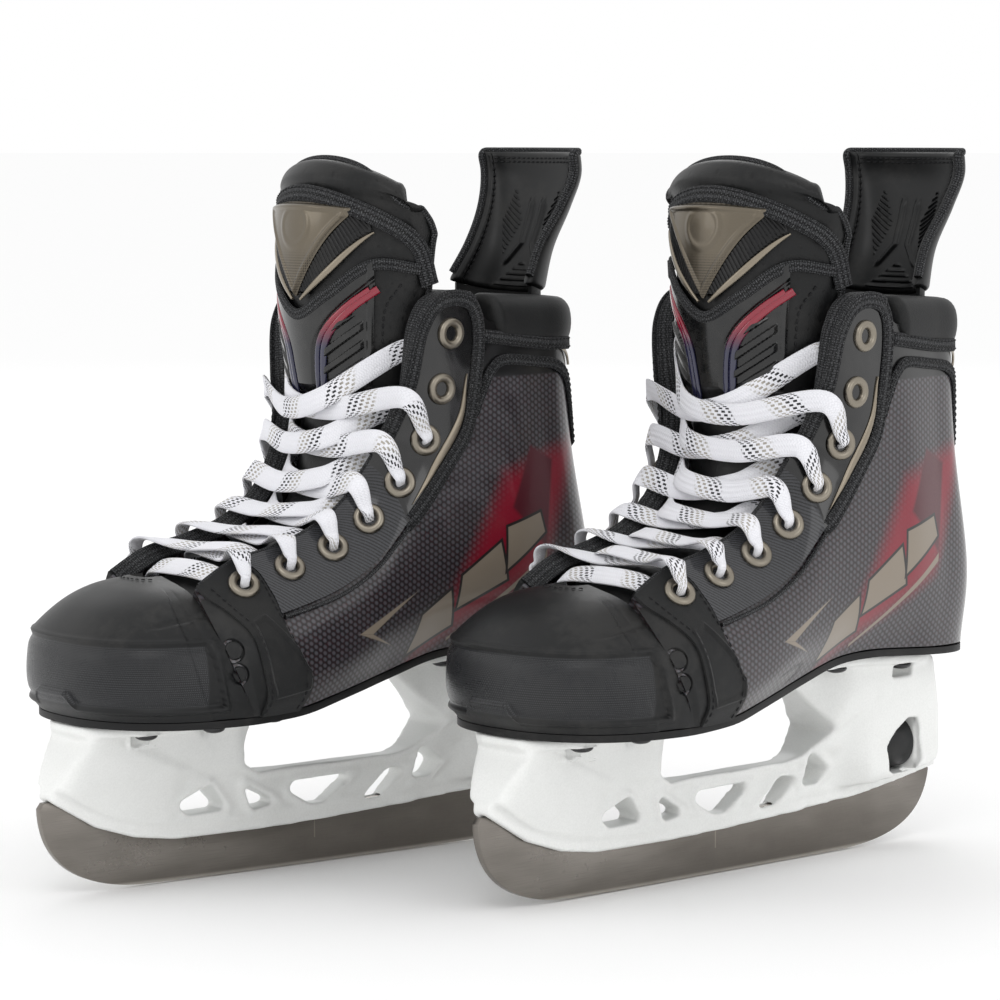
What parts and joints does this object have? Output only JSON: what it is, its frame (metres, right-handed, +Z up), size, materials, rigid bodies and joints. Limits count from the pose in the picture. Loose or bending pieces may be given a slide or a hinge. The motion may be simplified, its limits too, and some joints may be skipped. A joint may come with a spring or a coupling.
{
  "type": "ice hockey skates",
  "caption": "Pair of lace-up ice hockey skates with padded tongues, tendon guards, moulded holders and steel runners that release by a thumbwheel.",
  "frame": {"origin": "on the ice, under the middle of the pair's bounding box", "axes": "+Z up, toes point along -Y, the wearer's left is +X; the left skate stands behind the right one and both toes turn 2.6 degrees out"},
  "size_m": [0.2132, 0.3306, 0.2557],
  "materials": {
    "holder_plastic": "satin white moulded nylon",
    "dark_metal": "dark plated",
    "composite": "gloss black moulded composite",
    "footbed_felt": "brushed textile over foam",
    "quarter_composite": "clear coated woven composite, dark grey fading to crimson at the heel",
    "toe_rubber": "fine grained matte black",
    "overlay_textile": "fine ribbed textile",
    "facing_leather": "gloss black synthetic with woven binding",
    "eyelet_metal": "plated",
    "collar_leather": "soft matte",
    "tongue_leather": "soft matte",
    "tendon_plastic": "moulded with ribs",
    "black_plastic": "moulded",
    "badge_metal": "smoked metallic",
    "lace_fabric": "waxed flat braid, white with black dashes",
    "runner_steel": "polished, smoky"
  },
  "bodies": {
    "left_boot": {"left_holder": "holder_plastic", "left_front_rivets": "dark_metal", "left_rear_rivets": "dark_metal", "left_outsole": "composite", "left_footbed": "footbed_felt", "left_boot_shell": "quarter_composite", "left_toe_cap": "toe_rubber", "left_overlay_outer": "overlay_textile", "left_overlay_inner": "overlay_textile", "left_facing_outer": "facing_leather", "left_facing_inner": "facing_leather", "left_eyelets_outer": "eyelet_metal", "left_eyelets_inner": "eyelet_metal", "left_collar_pad": "collar_leather", "left_tongue_lower": "tongue_leather", "left_lace": "lace_fabric"},
    "left_tongue_top": {"left_tongue_upper": "tongue_leather", "left_tongue_badge": "badge_metal", "left_tongue_guard": "black_plastic"},
    "left_tendon": {"left_tendon_guard": "tendon_plastic"},
    "left_wheel": {"left_thumbwheel": "black_plastic"},
    "left_bolt": {"left_lock_bolt": "dark_metal"},
    "left_runner": {"left_runner": "runner_steel"},
    "right_boot": {"right_holder": "holder_plastic", "right_front_rivets": "dark_metal", "right_rear_rivets": "dark_metal", "right_outsole": "composite", "right_footbed": "footbed_felt", "right_boot_shell": "quarter_composite", "right_toe_cap": "toe_rubber", "right_overlay_outer": "overlay_textile", "right_overlay_inner": "overlay_textile", "right_facing_outer": "facing_leather", "right_facing_inner": "facing_leather", "right_eyelets_outer": "eyelet_metal", "right_eyelets_inner": "eyelet_metal", "right_collar_pad": "collar_leather", "right_tongue_lower": "tongue_leather", "right_lace": "lace_fabric"},
    "right_tongue_top": {"right_tongue_upper": "tongue_leather", "right_tongue_badge": "badge_metal", "right_tongue_guard": "black_plastic"},
    "right_tendon": {"right_tendon_guard": "tendon_plastic"},
    "right_wheel": {"right_thumbwheel": "black_plastic"},
    "right_bolt": {"right_lock_bolt": "dark_metal"},
    "right_runner": {"right_runner": "runner_steel"}
  },
  "joints": [
    {"name": "left_tongue_flex", "type": "hinge", "parent": "left_boot", "child": "left_tongue_top", "pos_m": [0.05488, 0.04539, 0.1735], "axis": [0.999, 0.0454, 0], "range_deg": [-5, 20], "stiffness_Nm_per_rad": 0.8},
    {"name": "left_tendon_flex", "type": "hinge", "parent": "left_boot", "child": "left_tendon", "pos_m": [0.05032, 0.14578, 0.2035], "axis": [0.999, 0.0454, 0], "range_deg": [-28, 5], "stiffness_Nm_per_rad": 0.8},
    {"name": "left_wheel_turn", "type": "hinge", "parent": "left_boot", "child": "left_wheel", "pos_m": [0.05346, 0.13171, 0.038], "axis": [-0.0454, 0.999, 0], "range_deg": [0, 1440]},
    {"name": "left_bolt_slide", "type": "slide", "parent": "left_boot", "child": "left_bolt", "axis": [-0.0454, 0.999, 0], "range_m": [0, 0.005]},
    {"name": "left_runner_release", "type": "hinge", "parent": "left_boot", "child": "left_runner", "pos_m": [0.05998, -0.067, 0.032], "axis": [0.999, 0.0454, 0], "range_deg": [-3.3, 0]},
    {"name": "right_tongue_flex", "type": "hinge", "parent": "right_boot", "child": "right_tongue_top", "pos_m": [-0.05488, -0.04981, 0.1735], "axis": [0.999, -0.0454, 0], "range_deg": [-5, 20], "stiffness_Nm_per_rad": 0.8},
    {"name": "right_tendon_flex", "type": "hinge", "parent": "right_boot", "child": "right_tendon", "pos_m": [-0.05032, 0.05058, 0.2035], "axis": [0.999, -0.0454, 0], "range_deg": [-28, 5], "stiffness_Nm_per_rad": 0.8},
    {"name": "right_wheel_turn", "type": "hinge", "parent": "right_boot", "child": "right_wheel", "pos_m": [-0.05346, 0.03651, 0.038], "axis": [0.0454, 0.999, 0], "range_deg": [0, 1440]},
    {"name": "right_bolt_slide", "type": "slide", "parent": "right_boot", "child": "right_bolt", "axis": [0.0454, 0.999, 0], "range_m": [0, 0.005]},
    {"name": "right_runner_release", "type": "hinge", "parent": "right_boot", "child": "right_runner", "pos_m": [-0.05998, -0.1622, 0.032], "axis": [0.999, -0.0454, 0], "range_deg": [-3.3, 0]},
    {"name": "right_skate_place", "type": "slide", "parent": "left_boot", "child": "right_boot", "axis": [0, 1, 0], "range_m": [-0.06, 0.095]}
  ],
  "couplings": [
    {"joint": "left_wheel_turn", "follows": "left_bolt_slide", "rad_per_m": 5026},
    {"joint": "left_runner_release", "follows": "left_bolt_slide", "rad_per_m": -11.518},
    {"joint": "right_wheel_turn", "follows": "right_bolt_slide", "rad_per_m": 5026},
    {"joint": "right_runner_release", "follows": "right_bolt_slide", "rad_per_m": -11.518}
  ]
}
